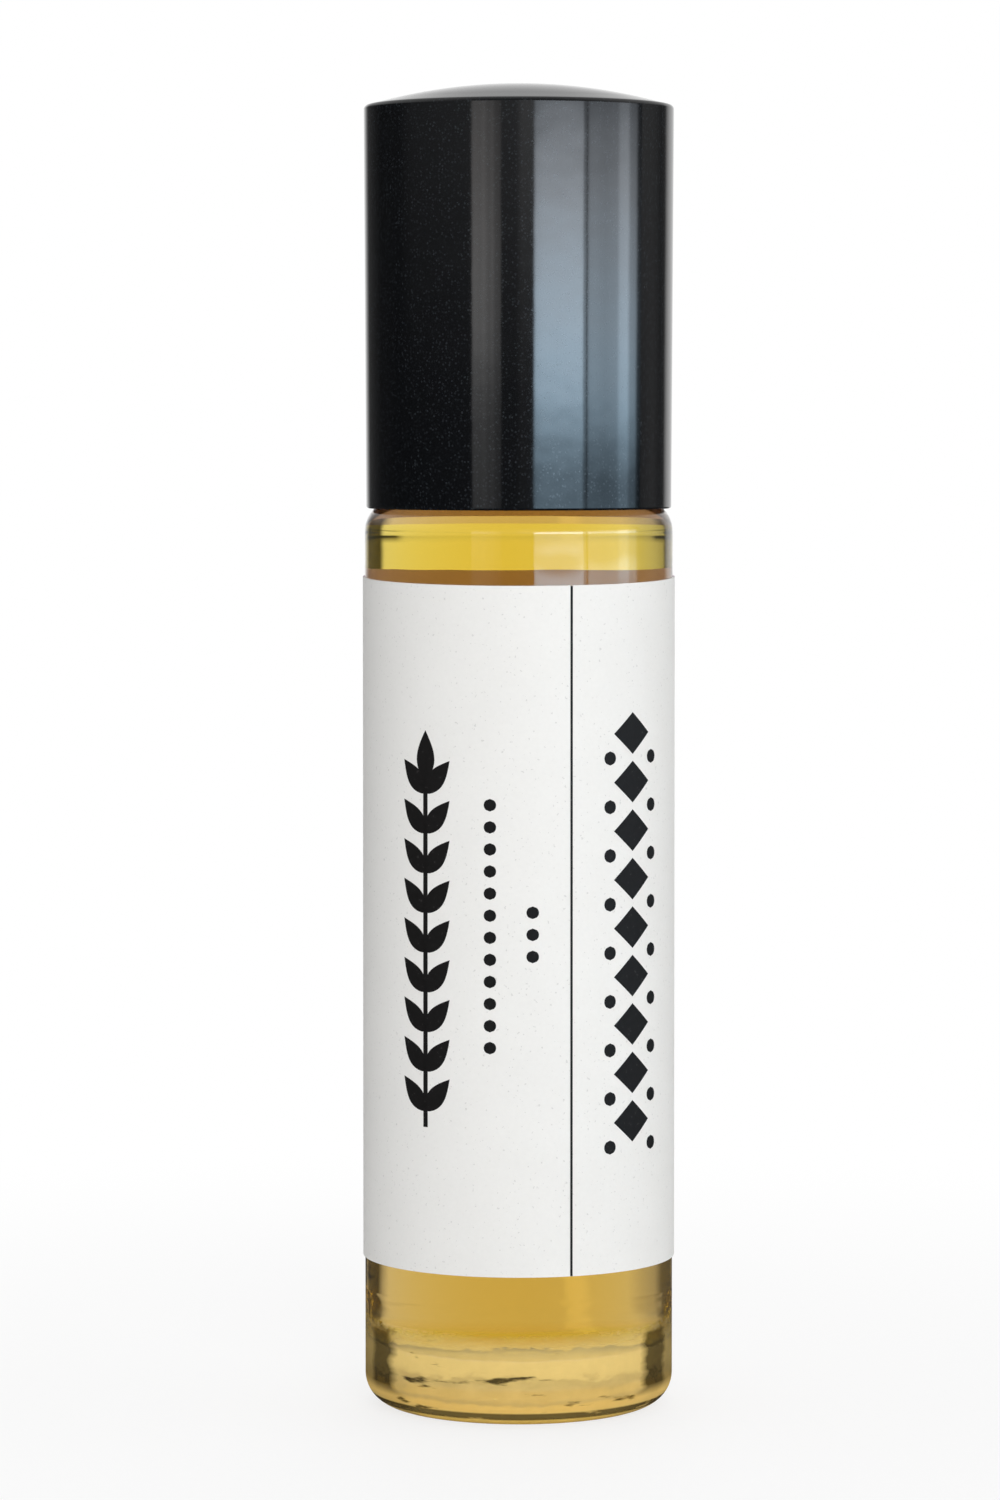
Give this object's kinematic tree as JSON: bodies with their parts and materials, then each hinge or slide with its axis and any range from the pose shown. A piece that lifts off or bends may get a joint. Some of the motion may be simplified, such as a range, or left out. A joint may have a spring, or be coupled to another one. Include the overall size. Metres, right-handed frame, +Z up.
{
  "type": "perfume oil bottle",
  "caption": "Slim round glass roll-on bottle of amber perfume oil, with a wrap-round paper label, a steel roller ball in a moulded housing and a tall glossy black screw cap.",
  "frame": {"origin": "centre of the base, at the level of the ring the bottle stands on", "axes": "+Z up along the bottle's axis; the middle of the label faces -Y and its ends meet at +Y"},
  "size_m": [0.0202, 0.0202, 0.0858],
  "materials": {
    "clear_glass": "clear flint glass, fire polished",
    "amber_oil": "clear amber liquid",
    "label_paper": "matt off-white paper with a fine speckle",
    "housing_plastic": "natural polyethylene, as moulded",
    "steel_ball": "polished stainless steel",
    "wad_foam": "soft expanded polyethylene",
    "gloss_black": "high gloss, black",
    "liner_plastic": "natural polypropylene, as moulded"
  },
  "bodies": {
    "bottle": {"glass_bottle": "clear_glass", "perfume_oil": "amber_oil", "label": "label_paper", "roller_housing": "housing_plastic"},
    "ball": {"roller_ball": "steel_ball"},
    "seal": {"seal_wad": "wad_foam"},
    "cap": {"cap_shell": "gloss_black", "cap_liner": "liner_plastic"}
  },
  "joints": [
    {"name": "cap_lift", "type": "slide", "parent": "bottle", "child": "seal", "axis": [0, 0, 1], "range_m": [0, 0.02065]},
    {"name": "cap_turn", "type": "hinge", "parent": "seal", "child": "cap", "pos_m": [0, 0, 0.0583], "axis": [0, 0, 1], "range_deg": [0, 2340]},
    {"name": "ball_roll", "type": "hinge", "parent": "bottle", "child": "ball", "pos_m": [0, 0, 0.0734], "axis": [1, 0, 0], "continuous": true}
  ],
  "couplings": [
    {"joint": "cap_lift", "follows": "cap_turn", "m_per_rad": 0.00050532}
  ]
}
